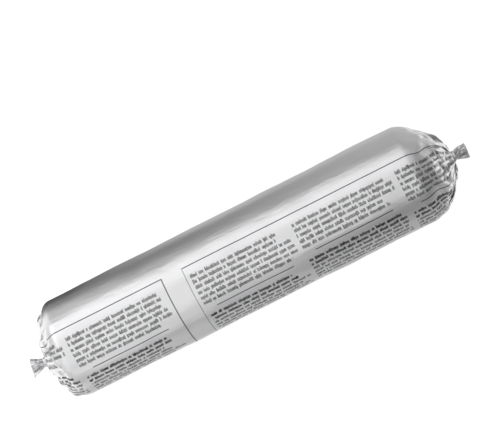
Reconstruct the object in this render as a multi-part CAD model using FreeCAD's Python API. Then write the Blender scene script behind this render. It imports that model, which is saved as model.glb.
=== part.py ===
import FreeCAD, Part
import math
import os

# A sealed foil pack of joint sealant, the kind that is loaded whole into a barrel gun.
# A tube of foil film is filled with paste, gathered into pleats at both ends and closed there
# by crimped wire clips, with a short tail of pleated film left outside each clip.
#
# Frame: +X runs along the pack towards its longer, more pointed end, and +Z is up. The pack
# lies on its side on a small flat spot. The origin is on that flat spot, under the middle of
# the pack's width and half way between its two tail tips. All sizes are in millimetres.

# The filled tube
body_diameter = 50.0
overall_length = 236.0
flat_spot_depth = 1.0

# The lap seam along the back of the tube, where the film's two long edges are sealed
seam_width = 9.0
seam_step = 0.12
seam_below_side_deg = 28.0

# The gathered ends: how far each dome reaches past its shoulder, and how full it is
# (2 is an ellipse, less is more like a cone, and more is blunter)
blunt_end_depth = 12.5
blunt_end_fullness = 2.3
long_end_depth = 22.0
long_end_fullness = 1.9

# The pleats made by the gathering
pleat_count = 14
pleat_depth = 1.5
pleat_lean = 0.42
pleat_unevenness = 0.28
pleat_start_deg = 6.0

# The neck that the clip grips, pressed flat from both sides, and the film that swells out
# round it on both sides of the clip
neck_width = 2.6
neck_height = 6.0
neck_swell = 0.7
neck_overlap = 0.2
neck_rise = 0.6
neck_offset = 1.0

# The tails of film outside the clips
blunt_tail_length = 7.6
blunt_tail_width = 9.2
blunt_tail_cut_deg = 9.0
long_tail_length = 6.3
long_tail_width = 8.0
long_tail_cut_deg = 3.0
tail_flatness = 0.8
tail_pleat_share = 0.5

# The clips: thick wire, bent round the neck and pressed until its two ends meet below it
clip_wire_width = 1.6
clip_wire_thickness = 1.3
clip_edge_bevel = 0.4
clip_neck_clearance = 0.03
clip_side_clearance = 0.05
clip_end_gap = 0.1

# Worked out from the sizes above
body_radius = body_diameter / 2
axis_height = body_radius - flat_spot_depth
half_length = overall_length / 2
neck_radius = neck_width / 2
neck_straight = neck_height - neck_width
neck_length = clip_wire_width + 2 * clip_side_clearance
swell_radius = neck_radius + neck_swell
swell_fold = neck_swell / 4
swell_flatness = (neck_height / 2 + neck_swell) / swell_radius
blunt_neck_x = -half_length + blunt_tail_length + neck_length
long_neck_x = half_length - long_tail_length - neck_length
blunt_shoulder_x = blunt_neck_x + neck_rise + blunt_end_depth
long_shoulder_x = long_neck_x - neck_rise - long_end_depth

# How wide the dome's rings are, as shares of the body's radius
dome_ring_shares = (0.99, 0.95, 0.87, 0.76, 0.62, 0.47, 0.33, 0.21)
# Where the tail's rings lie, as shares of its length
tail_ring_shares = (0.0, 0.2, 0.5, 1.0)

# The way each end points along X
BLUNT, LONG = -1, 1


def at(x, y, z):
    """A point given from the pack's own axis."""
    return FreeCAD.Vector(x, y, axis_height + z)


def pleat_marks():
    """The angle and height of each crease, once round the end.

    A pleat has a sharp valley, a flank, and a crest with two creases. Heights run from -1 in a
    valley to about 1 on a crest. The pleats differ in width and height, as gathered film does,
    and all of them lean the same way round. The first valley is near the underside.
    """
    widths = [1 + pleat_unevenness * math.sin(2.4 * i) for i in range(pleat_count)]
    unit = 2 * math.pi / sum(widths)
    angle = math.radians(pleat_start_deg - 90)
    marks = []
    for i, width in enumerate(widths):
        span = unit * width
        crest = 1 + pleat_unevenness * math.sin(1.7 * i + 1)
        marks.append((angle, -1.0))
        marks.append((angle + span * pleat_lean / 2, crest / 4))
        marks.append((angle + span * pleat_lean, crest))
        marks.append((angle + span * (1 + pleat_lean) / 2, crest * 3 / 4))
        angle += span
    return marks


def round_ring(x):
    """The plain circle of the filled tube, parted where the pleats' creases start."""
    angles = [angle for angle, height in pleat_marks()]
    arcs = []
    for start, end in zip(angles, angles[1:] + [angles[0] + 2 * math.pi]):
        points = [at(x, body_radius * math.cos(a), body_radius * math.sin(a))
                  for a in (start, (start + end) / 2, end)]
        arcs.append(Part.Arc(*points).toShape())
    return Part.Wire(arcs)


def creased_ring(side, x, radius, fold, lean_out=(0.0, 1.0), offset=0.0, flatness=1.0, cut=0.0):
    """A closed ring of straight runs from crease to crease.

    fold is how far a crest stands out of the ring's mean radius. lean_out is the outward
    direction of the surface: its share along the axis, and its share away from the axis.
    offset moves the ring sideways, flatness presses it in height, and cut slants it.
    """
    points = []
    for angle, height in pleat_marks():
        out = radius + fold * height * lean_out[1]
        y = out * math.cos(angle) - offset
        along = x + side * (fold * height * lean_out[0] - cut * (y + offset))
        points.append(at(along, y, out * math.sin(angle) * flatness))
    points.append(points[0])
    return Part.makePolygon(points)


def dome(side, shoulder_x, depth, fullness):
    """The gathered end of the filled tube, from its shoulder to the neck."""
    rings = [round_ring(shoulder_x)]
    for share_out in dome_ring_shares:
        share_along = (1 - share_out ** fullness) ** (1 / fullness)
        # The profile's outward normal
        away = share_out ** (fullness - 1) / body_radius
        along = share_along ** (fullness - 1) / depth
        size = math.hypot(away, along)
        # Pleats grow from nothing at the shoulder, and crowd together at the neck
        growth = min(1.0, 2 * (1 - share_out))
        room = min(1.0, share_out * body_radius / (pleat_count * pleat_depth / math.pi))
        rings.append(creased_ring(side, shoulder_x + side * depth * share_along,
                                  body_radius * share_out, pleat_depth / 2 * growth * room,
                                  (along / size, away / size), neck_offset * (1 - share_out)))
    neck_x = shoulder_x + side * (depth + neck_rise)
    rings.append(creased_ring(side, neck_x, swell_radius, swell_fold, offset=neck_offset,
                              flatness=swell_flatness))
    return Part.makeLoft(rings, True, True)


def tail(side, neck_x, length, width, cut_deg):
    """The film outside the clip, opening from the neck into a fan of pleats."""
    cut = math.tan(math.radians(cut_deg))
    tip_fold = width / 4 * tail_pleat_share
    tip_radius = width / 2 - tip_fold
    # The slanted end is set back so that its longest edge comes to the full length
    slant_rise = max(-cut * (tip_radius + tip_fold * height) * math.cos(angle)
                     for angle, height in pleat_marks())
    reach = length - slant_rise
    rings = []
    for share in tail_ring_shares:
        opened = math.sqrt(share)
        rings.append(creased_ring(side, neck_x + side * (neck_length + reach * share),
                                  swell_radius + (tip_radius - swell_radius) * opened,
                                  swell_fold + (tip_fold - swell_fold) * opened,
                                  offset=neck_offset,
                                  flatness=swell_flatness
                                  + (tail_flatness - swell_flatness) * opened,
                                  cut=cut * share))
    return Part.makeLoft(rings, True, True)


def neck(side, neck_x):
    """The tight bundle of film inside the clip, carried on into the dome and the tail.

    It is pressed to a slot's outline: straight on both sides and round at the top and bottom.
    """
    x = neck_x - side * neck_overlap

    def rim(y, z):
        return at(x, y - neck_offset, z)

    half = neck_straight / 2
    end = neck_height / 2
    edges = [
        Part.makeLine(rim(neck_radius, -half), rim(neck_radius, half)),
        Part.Arc(rim(neck_radius, half), rim(0, end), rim(-neck_radius, half)).toShape(),
        Part.makeLine(rim(-neck_radius, half), rim(-neck_radius, -half)),
        Part.Arc(rim(-neck_radius, -half), rim(0, -end), rim(neck_radius, -half)).toShape(),
    ]
    length = side * (neck_length + 2 * neck_overlap)
    return Part.Face(Part.Wire(edges)).extrude(FreeCAD.Vector(length, 0, 0))


def lap_seam():
    """The sealed strip along the back, one film thickness proud of the tube."""
    inner = body_radius - body_radius / 10
    outer = body_radius + seam_step
    corners = [at(blunt_shoulder_x, inner, 0), at(long_shoulder_x, inner, 0),
               at(long_shoulder_x, outer, 0), at(blunt_shoulder_x, outer, 0)]
    face = Part.Face(Part.makePolygon(corners + corners[:1]))
    half_turn = math.degrees(seam_width / 2 / body_radius)
    axis = FreeCAD.Vector(1, 0, 0)
    face.rotate(at(0, 0, 0), axis, -seam_below_side_deg - half_turn)
    return face.revolve(at(0, 0, 0), axis, 2 * half_turn)


def foil_pack():
    """The whole sealed pack as one solid: tube, domes, necks, tails and seam."""
    tube = Part.makeCylinder(body_radius, long_shoulder_x - blunt_shoulder_x,
                             at(blunt_shoulder_x, 0, 0), FreeCAD.Vector(1, 0, 0))
    whole = tube.fuse([
        dome(BLUNT, blunt_shoulder_x, blunt_end_depth, blunt_end_fullness),
        dome(LONG, long_shoulder_x, long_end_depth, long_end_fullness),
        neck(BLUNT, blunt_neck_x),
        neck(LONG, long_neck_x),
        tail(BLUNT, blunt_neck_x, blunt_tail_length, blunt_tail_width, blunt_tail_cut_deg),
        tail(LONG, long_neck_x, long_tail_length, long_tail_width, long_tail_cut_deg),
        lap_seam(),
    ])
    under_floor = Part.makeBox(overall_length, body_diameter, body_radius,
                               FreeCAD.Vector(-half_length, -body_radius, -body_radius))
    return whole.cut(under_floor)


def wire_section(centre, across):
    """The wire cut square through: an oblong with its edges bevelled by the closing press."""
    along = clip_wire_width / 2
    out = clip_wire_thickness / 2
    flat_along = along - clip_edge_bevel
    flat_out = out - clip_edge_bevel
    corners = []
    for x, away in ((along, flat_out), (flat_along, out), (-flat_along, out), (-along, flat_out),
                    (-along, -flat_out), (-flat_along, -out), (flat_along, -out),
                    (along, -flat_out)):
        corners.append(centre + FreeCAD.Vector(x, 0, 0) + across * away)
    return Part.Face(Part.makePolygon(corners + corners[:1]))


def end_clip(side, neck_x):
    """A wire clip closed round the flat neck: two straight legs, joined over the top by a bow.

    Below the neck each leg turns in through a quarter circle, and the two ends meet.
    """
    bend_radius = neck_radius + clip_neck_clearance + clip_wire_thickness / 2
    bend_up = neck_straight / 2
    end_turn = 90 - math.degrees(clip_end_gap / 2 / bend_radius)
    axis = FreeCAD.Vector(1, 0, 0)
    sideways = FreeCAD.Vector(0, 1, 0)

    def point(y, z):
        return at(neck_x + side * neck_length / 2, y - neck_offset, z)

    bow_start = wire_section(point(bend_radius, bend_up), sideways)
    pieces = [bow_start.revolve(point(0, bend_up), axis, 180)]
    for way in (1, -1):
        leg_foot = wire_section(point(way * bend_radius, -bend_up), sideways)
        pieces.append(leg_foot.extrude(FreeCAD.Vector(0, 0, neck_straight)))
        pieces.append(leg_foot.revolve(point(0, -bend_up), axis, -way * end_turn))
    return pieces[0].fuse(pieces[1:]).removeSplitter()


def main():
    os.makedirs("parts", exist_ok=True)
    foil_pack().exportStep("parts/foil_pack.step")
    end_clip(BLUNT, blunt_neck_x).exportStep("parts/blunt_end_clip.step")
    end_clip(LONG, long_neck_x).exportStep("parts/long_end_clip.step")


main()
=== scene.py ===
import math

import bpy
import numpy as np
from bpy.props import FloatProperty, FloatVectorProperty, IntProperty, PointerProperty
from mathutils import Matrix, Vector


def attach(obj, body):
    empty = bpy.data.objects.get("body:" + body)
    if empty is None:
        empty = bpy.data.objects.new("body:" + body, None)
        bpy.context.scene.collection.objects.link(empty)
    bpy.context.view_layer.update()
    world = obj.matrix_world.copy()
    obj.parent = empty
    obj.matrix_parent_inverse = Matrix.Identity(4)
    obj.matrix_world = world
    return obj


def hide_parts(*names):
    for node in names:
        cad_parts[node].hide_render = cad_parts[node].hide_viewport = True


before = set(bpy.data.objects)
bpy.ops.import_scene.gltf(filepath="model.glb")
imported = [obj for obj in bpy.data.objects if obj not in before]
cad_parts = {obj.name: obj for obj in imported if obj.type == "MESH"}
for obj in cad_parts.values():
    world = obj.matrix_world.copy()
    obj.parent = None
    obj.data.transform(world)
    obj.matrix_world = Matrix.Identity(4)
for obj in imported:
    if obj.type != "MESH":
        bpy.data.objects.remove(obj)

# A sealed foil pack of joint sealant, lying on its side. Lengths are in metres. +X runs along
# the pack to its longer, more pointed end, which is on the right in the photograph, +Y is away
# from the photograph's lower edge and +Z is up. Angles round the tube are counted from its top,
# and grow towards +Y.

bl_info = {
    "name": "Sealant foil pack",
    "version": (1, 0, 0),
    "blender": (4, 5, 0),
    "location": "View3D > Sidebar > Foil pack",
    "description": "Gathers a printed foil film round a sealant filling and closes it with wire clips",
    "category": "Add Mesh",
}

MM = 0.001

# How finely the film is divided: round it, along the plain tube and along each dome or tail
FILM_COLUMNS = 512
TAIL_COLUMNS = 288
TUBE_RINGS = 42
DOME_RINGS = 62
TAIL_RINGS = 20
OUTLINE_POINTS = 400


def metres(name, text, default):
    """A length that a user may change."""
    return FloatProperty(name=name, description=text, default=default, unit="LENGTH",
                         subtype="DISTANCE", precision=5)


def degrees(name, text, default):
    """An angle that a user may change."""
    return FloatProperty(name=name, description=text, default=math.radians(default), subtype="ANGLE")


def number(name, text, default):
    """A plain number that a user may change."""
    return FloatProperty(name=name, description=text, default=default)


class TubeSizes(bpy.types.PropertyGroup):
    """The filled tube and its lap seam"""
    radius: metres("Radius", "Radius of the filled tube", 25 * MM)
    axis_height: metres("Axis height", "Height of the tube's axis above the floor", 24 * MM)
    seam_start: degrees("Seam start", "Upper edge of the lap seam, round from the top", 107.7)
    seam_width: metres("Seam width", "Width of the lap seam along the back", 9 * MM)
    seam_step: metres("Seam step", "Height of the lap seam's edge", 0.12 * MM)
    ripple: metres("Ripple", "Height of the soft dents in the filled tube", 0.18 * MM)


class BluntEndSizes(bpy.types.PropertyGroup):
    """The gathered end that is on the left in the photograph"""
    side: number("Side", "Which way the end points along X", -1)
    shoulder: metres("Shoulder", "Where the tube ends and the dome starts", -95.6 * MM)
    depth: metres("Depth", "Reach of the dome past its shoulder", 12.5 * MM)
    back_fullness: number("Back fullness", "Of the dome's +Y side: 2 is an ellipse, less is a cone", 1.74)
    front_fullness: number("Front fullness", "Of the dome's -Y side: 2 is an ellipse, less is a cone", 2.25)
    bulge: metres("Bulge", "How far the dome swells out round the neck", 0.3 * MM)
    run_in: metres("Run-in", "Length of tube over which the dome's curve starts", 1.8 * MM)
    corner: metres("Corner", "How far the dome's -Y side stands out in a corner", 0)
    crumple: metres("Crumple", "Height of the dome's uneven dents", 0.75 * MM)
    full_folds: number("Full folds", "Share of the tube's radius where the folds are fully grown", 0.84)
    tail_length: metres("Tail length", "From the clip to the tail's tip", 7.6 * MM)
    tail_width: metres("Tail width", "Across the tail's tip", 9.2 * MM)
    tail_cut: degrees("Tail cut", "Slant of the tail's cut end", 9)
    tail_spread: number("Tail spread", "Below 1 the tail opens soon, above 1 late", 0.9)
    seed: IntProperty(name="Seed", description="Picks the end's folds", default=4)


class LongEndSizes(bpy.types.PropertyGroup):
    """The gathered end that is on the right in the photograph"""
    side: number("Side", "Which way the end points along X", 1)
    shoulder: metres("Shoulder", "Where the tube ends and the dome starts", 89.4 * MM)
    depth: metres("Depth", "Reach of the dome past its shoulder", 20 * MM)
    back_fullness: number("Back fullness", "Of the dome's +Y side: 2 is an ellipse, less is a cone", 1.5)
    front_fullness: number("Front fullness", "Of the dome's -Y side: 2 is an ellipse, less is a cone", 1.6)
    bulge: metres("Bulge", "How far the dome swells out round the neck", 1.5 * MM)
    run_in: metres("Run-in", "Length of tube over which the dome's curve starts", 2.6 * MM)
    corner: metres("Corner", "How far the dome's -Y side stands out in a corner", 0.8 * MM)
    crumple: metres("Crumple", "Height of the dome's uneven dents", 0.55 * MM)
    full_folds: number("Full folds", "Share of the tube's radius where the folds are fully grown", 0.68)
    tail_length: metres("Tail length", "From the clip to the tail's tip", 6.3 * MM)
    tail_width: metres("Tail width", "Across the tail's tip", 8.0 * MM)
    tail_cut: degrees("Tail cut", "Slant of the tail's cut end", 3)
    tail_spread: number("Tail spread", "Below 1 the tail opens soon, above 1 late", 0.4)
    seed: IntProperty(name="Seed", description="Picks the end's folds", default=9)


class GatherSizes(bpy.types.PropertyGroup):
    """What both gathered ends have in common"""
    top_pleats: IntProperty(name="Top pleats", description="Small pleats over the top", default=4, min=1)
    pleats: IntProperty(name="Pleats", description="Deep pleats round the sides and below", default=13, min=4)
    lift: metres("Lift", "How far a pleat's top layer stands over the next", 0.75 * MM)
    puff: metres("Puff", "How far the film swells out between two pleats", 0.5 * MM)
    neck_width: metres("Neck width", "Width of the bundle of film in the clip", 2.56 * MM)
    neck_height: metres("Neck height", "Height of the bundle of film in the clip", 5.96 * MM)
    swell: metres("Swell", "How far the bundle swells out just outside the clip", 0.72 * MM)
    neck_rise: metres("Neck rise", "From the dome's end to the clip", 0.6 * MM)
    neck_offset: metres("Neck offset", "How far the necks lie off the axis, towards -Y", 1.0 * MM)
    tail_pleats: IntProperty(name="Tail pleats", description="Pleats in each tail", default=7, min=4)
    mouth: metres("Mouth", "Depth of the hollow between the pleats at a tail's tip", 1.6 * MM)


class ClipSizes(bpy.types.PropertyGroup):
    """The two wire clips"""
    wire_width: metres("Wire width", "Size of the wire along the pack", 1.6 * MM)
    wire_thickness: metres("Wire thickness", "Size of the wire away from the neck", 1.3 * MM)
    wire_edge: metres("Wire edge", "Rounding of the wire's edges", 0.45 * MM)
    bend_radius: metres("Bend radius", "Radius of the bow, at the wire's middle", 1.98 * MM)
    straight: metres("Straight", "Length of each straight leg", 3.4 * MM)
    end_gap: metres("End gap", "Gap between the wire's two ends", 0.1 * MM)
    side_gap: metres("Side gap", "Gap between the wire and the film on each side", 0.05 * MM)


class PrintSizes(bpy.types.PropertyGroup):
    """The print on the film, in millimetres along it and round it from the top of the tube"""
    period: number("Period", "From one printed frame to the next", 173.3)
    frame_start: number("Frame start", "Where a frame starts along X", -28.1)
    frame_length: number("Frame length", "Length of a frame", 162.8)
    frame_top: number("Frame top", "Upper line of the frame", 9.9)
    frame_foot: number("Frame foot", "Lower line of the frame", -48.0)
    line: number("Line", "Width of the printed lines", 0.46)
    first_column: number("First column", "From the frame's start to the first column", 2.2)
    second_column: number("Second column", "From the frame's start to the second column", 55.5)
    third_column: number("Third column", "From the frame's start to the third column", 109.4)
    first_row: number("First row", "Middle of the first group's first row", 4.4)
    row_length: number("Row length", "Length of the longest rows", 50.8)
    ragged: number("Ragged", "How much shorter a row can be", 13.0)
    row_pitch: number("Row pitch", "From one row to the next", 2.85)
    rows: IntProperty(name="Rows", description="Rows in a group", default=6, min=1)
    group_pitch: number("Group pitch", "From one group of rows to the next", 22.28)
    rule_place: number("Rule place", "Where the rule below the first group lies", -13.65)
    rule_start: number("Rule start", "From the column's start to its rules", 5.2)
    rule_end: number("Rule end", "From the column's start to its rules' ends", 45.6)
    word: number("Word", "Mean length of a run of strokes", 5.6)
    stroke_step: number("Stroke step", "From one printed stroke to the next", 0.52)
    stroke_height: number("Stroke height", "Height of a full stroke", 1.45)
    bold: number("Bold", "How much of a step the bold rows' strokes are wider to each side", 0.1)
    ink: number("Ink", "Grey of the ink", 0.02)


class FoilLook(bpy.types.PropertyGroup):
    """The film's bare metal"""
    colour: FloatVectorProperty(name="Colour", description="Colour of the foil", subtype="COLOR",
                                default=(0.80, 0.80, 0.81))
    roughness: number("Roughness", "Roughness of the foil", 0.36)
    streak: number("Streak", "Height of the lengthwise streaks in millimetres", 0.1)
    crease: number("Crease", "Height of the creases in the gathered film in millimetres", 0.85)


class StageSizes(bpy.types.PropertyGroup):
    """Camera and light"""
    turn: degrees("Turn", "How far the pack's long end points up in the picture", 26.87)
    lean: degrees("Lean", "How far the camera leans towards the long end", 3.4)
    distance: metres("Distance", "From the camera to the pack", 0.85)
    view_width: metres("View width", "Width of the picture at the pack", 241 * MM)
    aim_along: metres("Aim along", "From the pack's middle to the picture's, along its foot", 1.72 * MM)
    aim_up: metres("Aim up", "From the pack's middle to the picture's, up the picture", 19.82 * MM)


class PackSettings(bpy.types.PropertyGroup):
    """All sizes of the foil pack"""
    tube: PointerProperty(type=TubeSizes)
    blunt_end: PointerProperty(type=BluntEndSizes)
    long_end: PointerProperty(type=LongEndSizes)
    gather: PointerProperty(type=GatherSizes)
    clip: PointerProperty(type=ClipSizes)
    print: PointerProperty(type=PrintSizes)
    foil: PointerProperty(type=FoilLook)
    stage: PointerProperty(type=StageSizes)


def settings():
    return bpy.context.scene.foil_pack


def deselect():
    if bpy.context.object and bpy.context.object.mode != "OBJECT":
        bpy.ops.object.mode_set(mode="OBJECT")
    bpy.ops.object.select_all(action="DESELECT")


def smoothstep(low, high, value):
    share = np.clip((value - low) / (high - low), 0, 1)
    return share * share * (3 - 2 * share)


# Film as a mesh: a tube is extruded ring by ring, mapped as a flat sheet, and then gathered

def plain_tube(name, stations, columns, radius):
    """A tube of film round the X axis, extruded ring by ring from a circle."""
    deselect()
    bpy.ops.mesh.primitive_circle_add(vertices=columns, radius=radius, location=(stations[0], 0, 0),
                                      rotation=(0, math.pi / 2, 0))
    tube = bpy.context.object
    tube.name = tube.data.name = name
    bpy.ops.object.transform_apply(location=True, rotation=True, scale=True)
    bpy.ops.object.mode_set(mode="EDIT")
    bpy.ops.mesh.select_all(action="SELECT")
    for start, end in zip(stations, stations[1:]):
        bpy.ops.mesh.extrude_region_move(TRANSFORM_OT_translate={"value": (end - start, 0, 0)})
    bpy.ops.object.mode_set(mode="OBJECT")
    return tube


def film_places(tube, cut):
    """Each vertex's place on the unrolled film: along it, and round it from the top.

    cut is the angle at which the film is slit for unrolling.
    """
    flat = np.empty(len(tube.data.vertices) * 3)
    tube.data.vertices.foreach_get("co", flat)
    places = flat.reshape(-1, 3)
    round_film = np.arctan2(places[:, 1], places[:, 2])
    round_film = np.where(round_film > cut, round_film - 2 * np.pi, round_film)
    return places[:, 0].copy(), round_film


def write_film_map(tube, along, round_film, radius):
    """The film's own UV map: millimetres along the film, and round it from the tube's top."""
    layer = tube.data.uv_layers.new(name="film")
    corner_vertex = np.empty(len(tube.data.loops), dtype=np.int64)
    tube.data.loops.foreach_get("vertex_index", corner_vertex)
    angles = round_film[corner_vertex].reshape(-1, 4)
    # A face across the slit has corners a whole turn apart
    across = angles.max(axis=1, keepdims=True) - angles > np.pi
    angles = np.where(across, angles + 2 * np.pi, angles)
    uv = np.column_stack([along[corner_vertex], angles.ravel() * radius]) / MM
    layer.data.foreach_set("uv", uv.ravel())


def write_gather(tube, gathered):
    """How far each vertex is gathered, 0 on the plain tube, for the material to read."""
    layer = tube.data.attributes.new("gather", "FLOAT", "POINT")
    layer.data.foreach_set("value", gathered)


def set_places(tube, places):
    """Move the vertices, then close the tube's collapsed end rings to single points."""
    tube.data.vertices.foreach_set("co", np.ascontiguousarray(places).ravel())
    tube.data.update()
    bpy.ops.object.mode_set(mode="EDIT")
    bpy.ops.mesh.select_all(action="SELECT")
    bpy.ops.mesh.remove_doubles(threshold=1e-7)
    bpy.ops.mesh.normals_make_consistent(inside=False)
    bpy.ops.object.mode_set(mode="OBJECT")
    bpy.ops.object.shade_smooth()


def waves(along, round_film, along_length, round_count, seed, layers=6):
    """Soft random waves on the film, from about -1 to 1."""
    draw = np.random.default_rng(seed)
    total = np.zeros_like(along)
    for _ in range(layers):
        length = along_length * draw.uniform(0.6, 1.6)
        count = draw.integers(1, round_count + 1)
        total += np.sin(2 * np.pi * along / length + draw.choice((-1, 1)) * count * round_film
                        + draw.uniform(0, 2 * np.pi))
    return total / math.sqrt(layers) / 1.2


def mean_radius(width, height):
    return (width + height) / 4


def softened(values, steps):
    """Values smoothed along an outline, whose two ends stay where they are."""
    lead = np.concatenate([np.full(steps, values[0]), values, np.full(steps, values[-1])])
    smooth = np.convolve(lead, np.hanning(2 * steps + 1) / steps, mode="same")[steps:-steps]
    keep = smoothstep(0, 2 * steps, np.arange(len(values))[::-1])
    return values + (smooth - values) * keep


def end_outline(end, fullness):
    """One side of a gathered end, at even steps of film: reach past the shoulder, and radius."""
    tube = settings().tube
    gather = settings().gather
    turns = np.radians(np.linspace(90, 0.5, OUTLINE_POINTS * 3 // 2))
    radius = tube.radius * np.sin(turns) ** (2 / fullness)
    reach = (end.depth + end.bulge) * np.cos(turns) ** (2 / fullness)
    swell_radius = mean_radius(gather.neck_width, gather.neck_height) + gather.swell
    # Close to the neck the curve is left for a straight run to the bundle's swelling
    kept = radius > swell_radius * 1.9
    radius = np.append(radius[kept], swell_radius)
    reach = np.append(reach[kept], end.depth + gather.neck_rise)
    # It starts on the tube itself, so that the curve can set in gently
    reach = np.append(-end.run_in, reach)
    radius = np.append(tube.radius, radius)
    length = np.concatenate([[0], np.cumsum(np.hypot(np.diff(reach), np.diff(radius)))])
    even = np.linspace(0, length[-1], OUTLINE_POINTS)
    steps = int(OUTLINE_POINTS * end.run_in / length[-1])
    radius = softened(np.interp(even, length, radius), steps)
    return np.interp(even, length, reach), radius


class Meridian:
    """A gathered end's outline from its shoulder to the middle of its clip."""

    def __init__(self, end):
        gather = settings().gather
        clip = settings().clip
        neck_radius = mean_radius(gather.neck_width, gather.neck_height)
        clip_middle = end.depth + gather.neck_rise + clip.side_gap + clip.wire_width / 2
        # Under the clip the film steps in, runs to the clip's middle and closes there. These
        # four points end every list below
        reaches = [clip_middle - clip.wire_width / 2, clip_middle - clip.wire_width / 2 + 0.05 * MM,
                   clip_middle, clip_middle]
        radii = [neck_radius + gather.swell * 0.8, neck_radius, neck_radius, 0]
        back = end_outline(end, end.back_fullness)
        front = end_outline(end, end.front_fullness)
        self.back = [np.append(back[0], reaches), np.append(back[1], radii)]
        self.front = [np.append(front[0], reaches), np.append(front[1], radii)]
        self.reach = (self.back[0] + self.front[0]) / 2
        self.radius = (self.back[1] + self.front[1]) / 2
        steps = np.hypot(np.diff(self.reach), np.diff(self.radius))
        self.length = np.concatenate([[0], np.cumsum(steps)])
        self.neck_start = self.length[-len(reaches) - 1]
        self.under_clip = self.length[-len(reaches):]
        # The outward normal's shares along the axis and away from it
        self.along = -np.gradient(self.radius, self.length)
        self.away = np.gradient(self.reach, self.length)

    def at(self, past, table):
        return np.interp(past, self.length, table)

    def placed(self, past, angle):
        """Reach and radius at a length of film past the shoulder, between the two sides' outlines."""
        back_share = (1 + np.sin(angle)) / 2
        both = []
        for back, front in zip(self.back, self.front):
            both.append(self.at(past, back) * back_share + self.at(past, front) * (1 - back_share))
        return both


class Pleating:
    """The folds in which a gathered end takes up the film that its smaller rings don't need.

    A few small pleats lie over the top, where the print runs almost straight to the neck. The
    deep ones are round the sides and below. Places round the film are angles from its top.
    """

    def __init__(self, end):
        gather = settings().gather
        draw = np.random.default_rng(end.seed)
        top = gather.top_pleats
        deep = gather.pleats
        top_half = math.radians(30)
        top_places = (np.arange(top) + 0.5 + draw.uniform(-0.3, 0.3, top)) / top
        widths = 1 + draw.uniform(-0.4, 0.4, deep)
        deep_places = (np.cumsum(widths) - widths / 2) / widths.sum()
        self.anchor = math.radians(-5)
        places = np.concatenate([(2 * top_places - 1) * top_half,
                                 top_half + deep_places * (2 * np.pi - 2 * top_half)])
        self.place = self.anchor + places
        self.weight = np.concatenate([draw.uniform(0.3, 0.5, top), draw.uniform(0.7, 1.3, deep)])
        self.onset = np.concatenate([end.full_folds + draw.uniform(0, 0.13, top),
                                     draw.uniform(0.72, 0.98, deep)])
        self.lift = np.concatenate([draw.uniform(0.5, 0.9, top), draw.uniform(0.6, 1.1, deep)])
        self.lift *= np.where(draw.random(top + deep) < 0.75, 1.0, -1.0)
        self.puff = draw.uniform(0.5, 1.5, top + deep)
        order = np.argsort(self.place)
        for name in ("place", "weight", "onset", "lift", "puff"):
            setattr(self, name, getattr(self, name)[order])

    def hidden(self, share):
        """Length of film in each pleat, on rings of a given share of the tube's radius."""
        film_length = 2 * np.pi * settings().tube.radius
        spare = film_length * (1 - share[:, None])
        # Close to the neck the top's film has to fold as much as the rest
        crowd = smoothstep(0.32, 0.1, share[:, None])
        weight = self.weight + (1 - self.weight) * 0.5 * crowd
        begun = smoothstep(self.onset, self.onset - 0.22, share[:, None])
        # All of them share the first little, so that no ring's film shifts at once
        parts = weight * begun + 0.06
        return spare * parts / parts.sum(axis=1, keepdims=True)

    def moved(self, share, round_film):
        """Where round the ring the film's points end up, as lengths from the top."""
        radius = settings().tube.radius
        film_length = 2 * np.pi * radius
        hidden = self.hidden(share)
        # Small folds lie flat on themselves, and deep ones are bunched
        half_width = hidden / 2 * np.clip(0.45 + hidden / (16 * MM), 0.45, 0.9) + 1e-6
        total = np.zeros((2, len(share)))
        for row, angles in enumerate((round_film, np.full_like(round_film, self.anchor))):
            arc = (angles[:, None] - self.place) * radius
            for lap in (-1, 0, 1):
                total[row] -= (hidden / 2 * np.tanh((arc + lap * film_length) / half_width)).sum(axis=1)
        from_anchor = (round_film - self.anchor) * radius
        return from_anchor + total[0] - total[1] + self.anchor * radius * share

    def stand(self, share, round_film):
        """How far the film stands out: stepped at each pleat, and puffed between them."""
        gather = settings().gather
        hidden = self.hidden(share)
        spacing = 2 * np.pi * settings().tube.radius * share / len(self.place)
        room = np.minimum(1, 0.45 * spacing / gather.lift)
        height = self.lift * gather.lift * np.minimum(1, hidden / (1.2 * MM)) * room[:, None]
        count = len(self.place)
        turned = (round_film - self.place[0]) % (2 * np.pi)
        starts = self.place - self.place[0]
        panel = np.searchsorted(starts, turned, side="right") - 1
        after = (panel + 1) % count
        panel_end = np.append(starts[1:], 2 * np.pi)[panel]
        across = (turned - starts[panel]) / (panel_end - starts[panel])
        rows = np.arange(len(share))
        rise = -height[rows, panel] / 2 * (1 - across) + height[rows, after] / 2 * across
        # The step itself is spread over the fold's rounded edge
        edge = 0.55 * MM / settings().tube.radius
        from_start = turned - starts[panel]
        to_end = panel_end - turned
        rise *= smoothstep(0, edge, from_start) * smoothstep(0, edge, to_end)
        puff = self.puff[panel] * gather.puff * np.minimum(1, spacing / (4 * MM))
        puff *= smoothstep(0.97, 0.7, share)
        bulge = np.minimum(1, 2.2 * np.sqrt(np.maximum(0, across * (1 - across))))
        return rise + puff * (bulge - 0.7)


def dome_start(end):
    """Where along X the tube starts to curve in."""
    return end.shoulder - end.side * end.run_in


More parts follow.
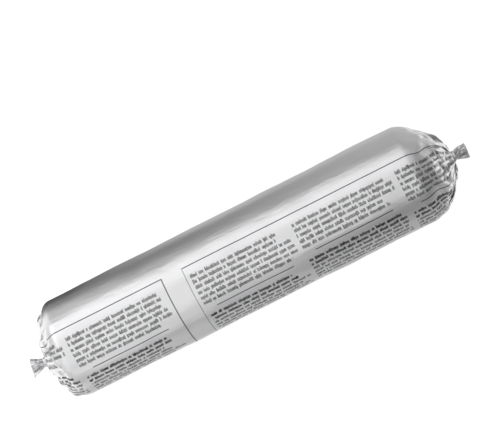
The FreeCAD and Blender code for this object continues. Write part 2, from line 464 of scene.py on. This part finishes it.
def gathered_end(end, along, round_film):
    """Places of the film's points past one shoulder, and how much they are gathered."""
    tube = settings().tube
    gather = settings().gather
    meridian = Meridian(end)
    pleating = Pleating(end)
    past = np.abs(along - dome_start(end))
    mean = np.maximum(meridian.at(past, meridian.radius), 1e-6)
    share = mean / tube.radius
    angle = pleating.moved(share, round_film) / mean
    reach, radius = meridian.placed(past, angle)
    size = np.hypot(meridian.at(past, meridian.along), meridian.at(past, meridian.away)) + 1e-9
    lean_along = meridian.at(past, meridian.along) / size
    lean_away = meridian.at(past, meridian.away) / size

    neck_mean = mean_radius(gather.neck_width, gather.neck_height)
    room = smoothstep(neck_mean + gather.swell * 0.9, neck_mean + 5 * MM, mean)
    room = np.where(past < meridian.neck_start, np.maximum(room, 0.35), 0)
    grown = smoothstep(1, end.full_folds, share)
    stand = pleating.stand(share, round_film) * grown
    stand += end.crumple * waves(past, round_film, 16 * MM, 8, end.seed) * grown
    stand += 0.5 * end.crumple * waves(past, round_film, 6 * MM, 22, end.seed + 1) * grown
    # The corner where the cone starts on the -Y side
    from_corner = (past - end.run_in - 7.5 * MM) / (2.6 * MM)
    from_side = (angle + np.pi / 2) / math.radians(34)
    stand += end.corner * np.exp(-from_corner ** 2 - from_side ** 2)
    stand *= room
    # The ring is pressed narrow and tall towards the neck
    tall = gather.neck_height / gather.neck_width
    flatness = 1 + (tall - 1) * smoothstep(6.5 * MM, neck_mean, mean)
    out = radius + stand * lean_away
    offset = gather.neck_offset * (1 - np.minimum(1, mean / tube.radius))
    x = end.shoulder + end.side * (reach + stand * lean_along)
    y = out * np.sin(angle) * 2 / (1 + flatness) - offset
    z = tube.axis_height + out * np.cos(angle) * 2 * flatness / (1 + flatness)
    return np.column_stack([x, y, z]), smoothstep(1, end.full_folds + 0.06, share)


def film_body():
    """The film round the filling, from the middle of one clip to the middle of the other."""
    tube = settings().tube
    ends = (settings().blunt_end, settings().long_end)
    runs = [np.linspace(dome_start(ends[0]), dome_start(ends[1]), TUBE_RINGS)]
    for end in ends:
        meridian = Meridian(end)
        dome = np.linspace(0, meridian.neck_start, DOME_RINGS + 1)[1:]
        run = dome_start(end) + end.side * np.concatenate([dome, meridian.under_clip])
        runs = [run[::-1], *runs] if end.side < 0 else [*runs, run]
    stations = [float(station) for station in np.concatenate(runs)]
    film = plain_tube("foil_film", stations, FILM_COLUMNS, tube.radius)
    along, round_film = film_places(film, tube.seam_start)
    write_film_map(film, along, round_film, tube.radius)

    ripple = tube.ripple * waves(along, round_film, 60 * MM, 5, 3)
    ripple += 0.4 * tube.ripple * waves(along, round_film, 18 * MM, 12, 8)
    past_seam = (tube.seam_start - round_film) * tube.radius
    seam_foot = 2 * np.pi * tube.radius - tube.seam_width
    out = tube.radius + ripple + tube.seam_step * (past_seam > seam_foot)
    places = np.column_stack([along, out * np.sin(round_film),
                              tube.axis_height + out * np.cos(round_film)])
    gathered = np.zeros_like(along)
    for end in ends:
        past = (along - dome_start(end)) * end.side
        on_end = past > 0
        gathered_places, gathered[on_end] = gathered_end(end, along[on_end], round_film[on_end])
        # The tube's ripple runs out over the dome
        fade = smoothstep(9 * MM, 0, past[on_end])
        swell = (out - tube.radius)[on_end] * fade
        gathered_places[:, 1] += swell * np.sin(round_film[on_end])
        gathered_places[:, 2] += swell * np.cos(round_film[on_end])
        places[on_end] = gathered_places
    # It lies on a flat spot
    places[:, 2] = np.maximum(places[:, 2], 0)
    write_gather(film, gathered)
    set_places(film, places)
    return film


def film_tail(name, end):
    """The pleated fan of film outside a clip, closed inside the clip and bunched at its cut end."""
    tube = settings().tube
    gather = settings().gather
    clip = settings().clip
    draw = np.random.default_rng(end.seed + 20)
    inside = clip.wire_width / 2 + clip.side_gap
    length = inside + end.tail_length
    # Past its length the film turns in at the tip and runs back to the middle
    turned_in = length + gather.mouth * np.array([0.06, 0.2, 0.4, 0.6, 0.8, 1.0])
    rings = np.concatenate([[0, 0.01 * MM, inside],
                            np.linspace(inside + 0.15 * MM, length, TAIL_RINGS), turned_in])
    meridian = Meridian(end)
    start = dome_start(end) + end.side * meridian.length[-1]
    stations = [float(start + end.side * ring) for ring in rings]
    tail = plain_tube(name, stations, TAIL_COLUMNS, tube.radius)
    along, round_film = film_places(tail, tube.seam_start)
    write_film_map(tail, along, round_film, tube.radius)

    past = np.abs(along - start)
    opened = np.clip((past - inside) / end.tail_length, 0, 1)
    spread = opened ** end.tail_spread
    # Each pleat is a thin leaf: a crest with close sides, leaning over the next one
    count = gather.tail_pleats
    widths = 1 + draw.uniform(-0.35, 0.35, count)
    edges = np.concatenate([[0], np.cumsum(widths)]) / widths.sum() * 2 * np.pi
    turned = (round_film - 0.2) % (2 * np.pi)
    leaf = np.clip(np.searchsorted(edges, turned, side="right") - 1, 0, count - 1)
    across = (turned - edges[leaf]) / (edges[leaf + 1] - edges[leaf])
    crest = np.sin(np.pi * across) ** 0.8
    reach = 1 + draw.uniform(-0.14, 0.12, count)[leaf] * opened
    # Half width and height of the tail: the neck under the clip, swelling out at once
    neck_half = np.array([gather.neck_width, gather.neck_height]) / 2
    swell_half = neck_half + gather.swell
    tip_half = np.array([end.tail_width, end.tail_width * 0.8]) / 2
    half = swell_half + (tip_half - swell_half) * spread[:, None]
    half[past <= inside] = neck_half
    # Share of that by which the valleys between the leaves lie deeper than their crests
    depth = (0.22 + 0.32 * np.minimum(1, 3 * opened)) * np.where(past > inside, 1, 0)
    out = (1 - depth * (1 - crest)) * (1 + (reach - 1) * crest)
    out = np.where(past < 0.005 * MM, 0, out)
    back = np.clip((past - length) / gather.mouth, 0, 1)
    out *= 1 - back
    past = np.minimum(past, length) - gather.mouth * np.sqrt(back) * (back > 0.1)
    lean = draw.uniform(0.25, 0.75, count)[leaf] * np.minimum(1, 2.5 * opened)
    turn = lean * crest * (edges[leaf + 1] - edges[leaf])
    crumple = 1 + 0.10 * waves(past, round_film, 5 * MM, 7, end.seed + 3) * np.minimum(1, 3 * opened)
    out *= np.minimum(crumple, 1.04)
    y = half[:, 0] * out * np.sin(round_film + turn)
    z = half[:, 1] * out * np.cos(round_film + turn)
    cut = math.tan(end.tail_cut)
    set_back = cut * end.tail_width / 2
    along_tail = past + opened * (cut * y * end.side - set_back)
    along_tail += 0.35 * MM * opened * (draw.uniform(-1, 0, count)[leaf] * crest)
    neck_x = end.shoulder + end.side * meridian.reach[-1]
    places = np.column_stack([neck_x + end.side * along_tail, y - gather.neck_offset,
                              tube.axis_height + z])
    write_gather(tail, np.ones_like(along))
    set_places(tail, places)
    return tail


def wire_clip(name, end):
    """A flat-pressed wire swept round the neck: in from one end, up, over the top and down."""
    clip = settings().clip
    gather = settings().gather
    middle = Vector((end.shoulder + end.side * Meridian(end).reach[-1], -gather.neck_offset,
                     settings().tube.axis_height))
    low = middle - Vector((0, 0, clip.straight / 2))
    high = middle + Vector((0, 0, clip.straight / 2))
    end_turn = math.pi / 2 - clip.end_gap / 2 / clip.bend_radius
    first = Matrix.Rotation(-end_turn, 3, "X") @ Vector((0, clip.bend_radius, 0))
    deselect()
    bpy.ops.mesh.primitive_plane_add(size=1, location=low + first, rotation=(-end_turn, 0, 0))
    ring = bpy.context.object
    ring.name = ring.data.name = name
    ring.scale = (clip.wire_width, clip.wire_thickness, 1)
    bpy.ops.object.transform_apply(location=True, rotation=True, scale=True)
    bpy.ops.object.mode_set(mode="EDIT")
    bpy.ops.mesh.select_all(action="SELECT")
    bpy.ops.mesh.bevel(offset=clip.wire_edge, segments=4, affect="VERTICES")
    bpy.ops.mesh.delete(type="ONLY_FACE")
    bpy.ops.mesh.select_all(action="SELECT")
    up = (0, 0, clip.straight)
    down = (0, 0, -clip.straight)
    bpy.ops.mesh.spin(steps=12, angle=end_turn, center=low, axis=(1, 0, 0))
    bpy.ops.mesh.extrude_region_move(TRANSFORM_OT_translate={"value": up})
    bpy.ops.mesh.spin(steps=24, angle=math.pi, center=high, axis=(1, 0, 0))
    bpy.ops.mesh.extrude_region_move(TRANSFORM_OT_translate={"value": down})
    bpy.ops.mesh.spin(steps=12, angle=end_turn, center=low, axis=(1, 0, 0))
    bpy.ops.mesh.select_all(action="SELECT")
    bpy.ops.mesh.remove_doubles(threshold=1e-7)
    bpy.ops.mesh.fill_holes(sides=0)
    bpy.ops.mesh.normals_make_consistent(inside=False)
    bpy.ops.object.mode_set(mode="OBJECT")
    bpy.ops.object.shade_smooth_by_angle(angle=math.radians(40))
    return ring


# Materials

class Wire:
    """A value on its way through a material. Arithmetic on it adds Math nodes."""

    def __init__(self, tree, socket=None):
        self.tree = tree
        self.socket = socket

    def node(self, kind, inputs=None, output=0, **options):
        """Add a node of any kind: options are set first, then its inputs are filled or linked."""
        made = self.tree.nodes.new(kind)
        for key, value in options.items():
            setattr(made, key, value)
        for key, value in (inputs or {}).items():
            if isinstance(value, Wire):
                self.tree.links.new(value.socket, made.inputs[key])
            else:
                made.inputs[key].default_value = value
        return Wire(self.tree, made.outputs[output])

    def maths(self, operation, *others):
        return self.node("ShaderNodeMath", dict(enumerate((self, *others))), operation=operation)

    def __add__(self, other):
        return self.maths("ADD", other)

    __radd__ = __add__

    def __mul__(self, other):
        return self.maths("MULTIPLY", other)

    __rmul__ = __mul__

    def __sub__(self, other):
        return self.maths("SUBTRACT", other)

    def __rsub__(self, other):
        return self.maths("MULTIPLY_ADD", -1.0, other)

    def __truediv__(self, other):
        return self.maths("DIVIDE", other)

    def __gt__(self, other):
        return self.maths("GREATER_THAN", other)

    def __lt__(self, other):
        return self.maths("LESS_THAN", other)

    def __or__(self, other):
        return self.maths("MAXIMUM", other)

    def __abs__(self):
        return self.maths("ABSOLUTE")

    def whole(self):
        return self.maths("FLOOR")

    def within(self, low, high):
        return (self > low) * (self < high)

    def near(self, place, reach):
        return abs(self - place) < reach


def new_material(name):
    """An empty material with a Principled shader, and a Wire to build its values with."""
    material = bpy.data.materials.new(name)
    material.use_nodes = True
    tree = material.node_tree
    return material, tree.nodes["Principled BSDF"], Wire(tree)


def link(value, socket):
    value.tree.links.new(value.socket, socket)


def outputs(wire):
    """All outputs of the node that a value comes from."""
    return [Wire(wire.tree, socket) for socket in wire.socket.node.outputs]


def split(value):
    """The three numbers of a place or a colour."""
    return outputs(value.node("ShaderNodeSeparateXYZ", {0: value}))


def random_parts(wire, x, y, seed):
    """Three random numbers for each pair of whole numbers x, y."""
    place = wire.node("ShaderNodeCombineXYZ", {0: x, 1: y, 2: seed})
    return split(wire.node("ShaderNodeTexWhiteNoise", {"Vector": place}, output="Color",
                           noise_dimensions="3D"))


def row_strokes(wire, x, y, row, bold):
    """Upright strokes in runs as long as words, which stand for print and spell nothing.

    x runs along the row and y up from its middle, in millimetres. row is a whole number, and
    bold widens the strokes by that share of their step.
    """
    sizes = settings().print
    place = x / sizes.stroke_step
    stroke = place.whole()
    tall, low, wide = random_parts(wire, stroke, row, 3.5)
    half = sizes.stroke_height / 2
    # A quarter of them stand taller, a fifth a little lower, and an eighth hang below the row
    top = half + (tall > 0.76) * 0.5 - (tall < 0.2) * 0.15
    foot = (low > 0.12) * 0.4 - half - 0.4
    drawn = (place - stroke).near(0.5, wide * 0.12 + bold + 0.28)
    # Every run ends in a gap, somewhere in its own stretch of the row
    word = (x / sizes.word).whole()
    shift, _, _ = random_parts(wire, word, row, 7.5)
    gap = (x - word * sizes.word - shift * (sizes.word - 1.0)).within(0.0, 0.85)
    return drawn * (y < top) * (y > foot) * (1 - gap)


def printing(wire, along, around):
    """Where the film is inked: a frame with three columns of strokes in groups, and thin rules."""
    sizes = settings().print
    place = (along - sizes.frame_start).maths("FLOORED_MODULO", sizes.period)
    half = sizes.line / 2
    in_frame = place < sizes.frame_length
    in_height = around.within(sizes.frame_foot - half, sizes.frame_top + half)
    ink = (place.near(0, half) | place.near(sizes.frame_length - half, half)) * in_height
    ink = ink | around.near(sizes.frame_top, half) * in_frame
    ink = ink | around.near(sizes.frame_foot, half) * in_frame

    # The columns, of which the middle one has a row less in its first group
    between = 1.1
    past_first = place > sizes.second_column - between
    past_middle = place > sizes.third_column - between
    x = (place - sizes.first_column - past_first * (sizes.second_column - sizes.first_column)
         - past_middle * (sizes.third_column - sizes.second_column))
    middle = past_first - past_middle
    lower = around - middle * sizes.row_pitch
    above_first = 1.6
    group = ((sizes.first_row + above_first - lower) / sizes.group_pitch).whole()
    later = group > 0.5
    height = around - middle * later * sizes.row_pitch + group * sizes.group_pitch - sizes.first_row
    row = (0.5 - height / sizes.row_pitch).whole()
    last = sizes.rows - 0.5 - middle * (1 - later)
    margin = 1.5
    in_frame = in_frame * around.within(sizes.frame_foot + margin, sizes.frame_top - margin)
    in_group = (row > -0.5) * (row < last)
    code = row + group * 10 + (past_first + past_middle) * 30
    ragged, _, _ = random_parts(wire, code, 1.0, 5.5)
    row_end = sizes.row_length - ragged * ragged * ragged * sizes.ragged
    bold = later * (row < 1.5) * sizes.bold
    strokes = row_strokes(wire, x, height + row * sizes.row_pitch, code, bold)
    rule = (lower + group * sizes.group_pitch).near(sizes.rule_place, half)
    rule = rule * x.within(sizes.rule_start, sizes.rule_end)
    return ink | (strokes * in_group * x.within(0.0, row_end) | rule) * in_frame


def creased(wire, along, around, along_size, around_size):
    """Height of crumpled film: flat facets, each tilted its own way."""
    x = along / along_size
    y = around / around_size
    place = wire.node("ShaderNodeCombineXYZ", {0: x, 1: y, 2: 0.0})
    cells = wire.node("ShaderNodeTexVoronoi", {"Vector": place, "Scale": 1.0},
                      voronoi_dimensions="2D")
    _, colour, middle, _, _ = outputs(cells)
    tilt_x, tilt_y, _ = split(colour)
    middle_x, middle_y, _ = split(middle)
    return (x - middle_x) * (tilt_x - 0.5) + (y - middle_y) * (tilt_y - 0.5)


def noise(wire, x, y, detail):
    """Soft random values from 0 to 1 on the flat film."""
    place = wire.node("ShaderNodeCombineXYZ", {0: x, 1: y, 2: 0.0})
    return wire.node("ShaderNodeTexNoise", {"Vector": place, "Scale": 1.0, "Detail": detail},
                     noise_dimensions="2D")


def foil_material(name, printed):
    """Satin foil, with or without print, streaked along the tube and creased where it is gathered."""
    look = settings().foil
    material, shader, wire = new_material(name)
    along, around, _ = split(wire.node("ShaderNodeUVMap", uv_map="film"))
    gather = wire.node("ShaderNodeAttribute", attribute_name="gather", output="Fac")
    roughness = noise(wire, along / 14, around / 3, 3.0) * 0.12 + (look.roughness - 0.06)
    shader.inputs["Base Color"].default_value = (*look.colour, 1)
    shader.inputs["Metallic"].default_value = 1.0
    if printed:
        ink = printing(wire, along, around)
        grey = settings().print.ink
        colour = wire.node("ShaderNodeMix", {0: ink, 6: (*look.colour, 1), 7: (grey, grey, grey, 1)},
                           output=2, data_type="RGBA")
        link(colour, shader.inputs["Base Color"])
        link(1 - ink, shader.inputs["Metallic"])
        roughness = roughness + ink * 0.1
    link(roughness, shader.inputs["Roughness"])
    streaks = noise(wire, along / 30, around / 2.6, 2.0) + noise(wire, along / 5, around / 1.8, 1.0) * 0.7
    creases = creased(wire, along, around, 7.0, 3.4) + creased(wire, along, around, 2.6, 1.6) * 0.35
    height = streaks * look.streak + creases * gather * look.crease
    bump = wire.node("ShaderNodeBump", {"Height": height, "Strength": 1.0, "Distance": MM})
    link(bump, shader.inputs["Normal"])
    return material


def clip_material(name):
    """Soft aluminium wire with the drawing lines and dents of the press."""
    material, shader, wire = new_material(name)
    shader.inputs["Base Color"].default_value = (0.72, 0.72, 0.73, 1)
    shader.inputs["Metallic"].default_value = 1.0
    place = wire.node("ShaderNodeTexCoord", output="Object")
    stretched = wire.node("ShaderNodeMapping", {0: place, 3: (4000, 900, 900)})
    lines = wire.node("ShaderNodeTexNoise", {"Vector": stretched, "Scale": 1.0, "Detail": 2.0})
    dents = wire.node("ShaderNodeTexNoise", {"Vector": place, "Scale": 900.0, "Detail": 1.0})
    link(lines * 0.18 + 0.28, shader.inputs["Roughness"])
    height = lines * 0.02 + dents * 0.12
    bump = wire.node("ShaderNodeBump", {"Height": height, "Strength": 1.0, "Distance": MM})
    link(bump, shader.inputs["Normal"])
    return material


class FOILPACK_OT_film(bpy.types.Operator):
    """Gather the printed foil film round the filling"""
    bl_idname = "foilpack.film"
    bl_label = "Foil film"

    def execute(self, context):
        film = film_body()
        film.data.materials.append(foil_material("printed_foil", True))
        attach(film, "root")
        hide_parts("foil_pack")
        return {"FINISHED"}


class FOILPACK_OT_tails(bpy.types.Operator):
    """Open the film into a pleated tail outside each clip"""
    bl_idname = "foilpack.tails"
    bl_label = "Tails"

    def execute(self, context):
        bare = foil_material("bare_foil", False)
        for name, end in (("blunt_tail", settings().blunt_end), ("long_tail", settings().long_end)):
            tail = film_tail(name, end)
            tail.data.materials.append(bare)
            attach(tail, "root")
            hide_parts("foil_pack")
        return {"FINISHED"}


class FOILPACK_OT_clips(bpy.types.Operator):
    """Close a wire clip round each neck"""
    bl_idname = "foilpack.clips"
    bl_label = "Clips"

    def execute(self, context):
        aluminium = clip_material("clip_aluminium")
        for name, end in (("blunt", settings().blunt_end), ("long", settings().long_end)):
            ring = wire_clip(name + "_clip", end)
            ring.data.materials.append(aluminium)
            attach(ring, "root")
            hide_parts(name + "_end_clip")
        return {"FINISHED"}


# Stage

def point_camera(context, sizes):
    """The photograph's view: from straight above, leaning a little towards the long end."""
    look = Vector((math.sin(sizes.lean), 0, math.cos(sizes.lean)))
    along = Vector((math.cos(sizes.lean), 0, -math.sin(sizes.lean)))
    across = look.cross(along)
    right = along * math.cos(sizes.turn) - across * math.sin(sizes.turn)
    up = along * math.sin(sizes.turn) + across * math.cos(sizes.turn)
    middle = Vector((0, 0, settings().tube.axis_height))
    aim = middle + right * sizes.aim_along + up * sizes.aim_up
    camera_data = bpy.data.cameras.new("camera")
    camera = bpy.data.objects.new("camera", camera_data)
    context.collection.objects.link(camera)
    camera_data.sensor_width = 36
    camera_data.lens = camera_data.sensor_width * sizes.distance / sizes.view_width
    camera_data.clip_start = 0.01
    turned = Matrix((right, up, look)).transposed().to_4x4()
    camera.matrix_world = Matrix.Translation(aim + look * sizes.distance) @ turned
    context.scene.camera = camera


def softbox(name, angle, along, distance, width, length, radiance):
    """A lamp that faces the pack, at an angle round the tube from its top, moved along X."""
    lamp_data = bpy.data.lights.new(name, "AREA")
    lamp_data.shape = "RECTANGLE"
    lamp_data.size = length
    lamp_data.size_y = width
    lamp_data.energy = radiance * math.pi * width * length
    lamp = bpy.data.objects.new(name, lamp_data)
    bpy.context.collection.objects.link(lamp)
    lamp.matrix_world = Matrix.Rotation(-angle, 4, "X") @ Matrix.Translation((along, 0, distance))
    return lamp


def white_to_view(wire, strength):
    """Emission that the camera, reflections and glass see, and that lights nothing."""
    rays = wire.tree.nodes.new("ShaderNodeLightPath")
    camera, glossy, glass = (Wire(wire.tree, rays.outputs[name])
                             for name in ("Is Camera Ray", "Is Glossy Ray", "Is Transmission Ray"))
    return (camera | glossy | glass) * strength


def floor_material():
    material, shader, wire = new_material("pale_floor")
    shader.inputs["Base Color"].default_value = (0.8, 0.8, 0.8, 1)
    shader.inputs["Roughness"].default_value = 0.9
    shader.inputs["Specular IOR Level"].default_value = 0.0
    shader.inputs["Emission Color"].default_value = (1, 1, 1, 1)
    link(white_to_view(wire, 0.62), shader.inputs["Emission Strength"])
    return material


def card(name, height, near_y, far_y, left, right):
    """A level card beside the pack, which only reflections show. Its grey changes along X.

    left and right are each a place along X and the grey from there outwards.
    """
    left_edge = -0.14
    right_edge = 0.5
    deselect()
    bpy.ops.mesh.primitive_plane_add(size=1, location=((left_edge + right_edge) / 2,
                                                       (near_y + far_y) / 2, height))
    sheet = bpy.context.object
    sheet.name = sheet.data.name = name
    sheet.scale = (right_edge - left_edge, abs(far_y - near_y), 1)
    bpy.ops.object.transform_apply(location=True, rotation=True, scale=True)
    material, shader, wire = new_material(name)
    shader.inputs["Base Color"].default_value = (0, 0, 0, 1)
    shader.inputs["Specular IOR Level"].default_value = 0.0
    shader.inputs["Emission Color"].default_value = (1, 1, 1, 1)
    along, _, _ = split(wire.node("ShaderNodeTexCoord", output="Object"))
    grey = wire.node("ShaderNodeMapRange",
                     {0: along, 1: left[0], 2: right[0], 3: left[1], 4: right[1]})
    link(grey, shader.inputs["Emission Strength"])
    sheet.data.materials.append(material)
    sheet.visible_camera = False
    sheet.visible_diffuse = False
    sheet.visible_shadow = False


class FOILPACK_OT_stage(bpy.types.Operator):
    """Set the pale floor, the soft lamps, the grey cards and the camera"""
    bl_idname = "foilpack.stage"
    bl_label = "Stage"

    def execute(self, context):
        deselect()
        bpy.ops.mesh.primitive_plane_add(size=6, location=(0, 0, 0))
        floor = context.object
        floor.name = "floor"
        floor.data.materials.append(floor_material())
        # Each card has its height, its two edges along Y and its greys along X
        low = 0.5 * MM
        card("near_back_card", low, 0.03, 0.06, (-0.09, 0.04), (-0.02, 0.6))
        card("back_card", low, 0.06, 2.8, (-0.04, 0.2), (0.1, 0.5))
        card("front_card", low, -0.04, -2.8, (-0.1, 0.6), (0.3, 0.32))
        card("raised_card", 0.09, -0.06, -0.16, (-0.1, 1.0), (0.08, 0.2))
        # Each lamp has its angle, place along X, distance, width, length and brightness
        softbox("key_lamp", math.radians(45), -0.6, 1.5, 1.45, 1.9, 0.83)
        softbox("right_lamp", math.radians(42), 1.0, 1.5, 1.4, 1.3, 0.32)
        softbox("top_lamp", math.radians(-12), -0.7, 1.7, 1.8, 2.0, 0.7)
        softbox("front_lamp", math.radians(-55), -0.8, 1.6, 1.0, 1.4, 0.3)
        # This one faces the blunt end, from behind it
        end_lamp = softbox("end_lamp", 0, 0, 1.5, 4.0, 1.2, 0.52)
        tip_over = Matrix.Rotation(math.radians(-58), 4, "Y")
        swing_back = Matrix.Rotation(math.radians(-15), 4, "Z")
        end_lamp.matrix_world = swing_back @ tip_over @ end_lamp.matrix_world
        world = bpy.data.worlds.new("studio")
        world.use_nodes = True
        background = world.node_tree.nodes["Background"]
        background.inputs["Color"].default_value = (1, 1, 1, 1)
        background.inputs["Strength"].default_value = 0.3
        context.scene.world = world
        context.scene.view_settings.view_transform = "Standard"
        point_camera(context, settings().stage)
        return {"FINISHED"}


class FOILPACK_PT_panel(bpy.types.Panel):
    """Builds the foil pack piece by piece"""
    bl_idname = "FOILPACK_PT_panel"
    bl_label = "Foil pack"
    bl_space_type = "VIEW_3D"
    bl_region_type = "UI"
    bl_category = "Foil pack"

    def draw(self, context):
        for step in STEPS:
            self.layout.operator(step.bl_idname)
        for group in ("tube", "blunt_end", "long_end", "gather", "clip", "print", "foil", "stage"):
            sizes = getattr(context.scene.foil_pack, group)
            box = self.layout.box()
            box.label(text=group.replace("_", " ").capitalize())
            for name in sizes.bl_rna.properties.keys()[2:]:
                box.prop(sizes, name)


STEPS = (FOILPACK_OT_film, FOILPACK_OT_tails, FOILPACK_OT_clips, FOILPACK_OT_stage)
CLASSES = (TubeSizes, BluntEndSizes, LongEndSizes, GatherSizes, ClipSizes, PrintSizes, FoilLook,
           StageSizes, PackSettings, *STEPS, FOILPACK_PT_panel)


def register():
    for kind in CLASSES:
        bpy.utils.register_class(kind)
    bpy.types.Scene.foil_pack = PointerProperty(type=PackSettings)


def unregister():
    del bpy.types.Scene.foil_pack
    for kind in reversed(CLASSES):
        bpy.utils.unregister_class(kind)


def main():
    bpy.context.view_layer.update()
    register()
    bpy.ops.foilpack.film()
    bpy.ops.foilpack.tails()
    bpy.ops.foilpack.clips()
    bpy.ops.foilpack.stage()


if __name__ == "__main__":
    main()
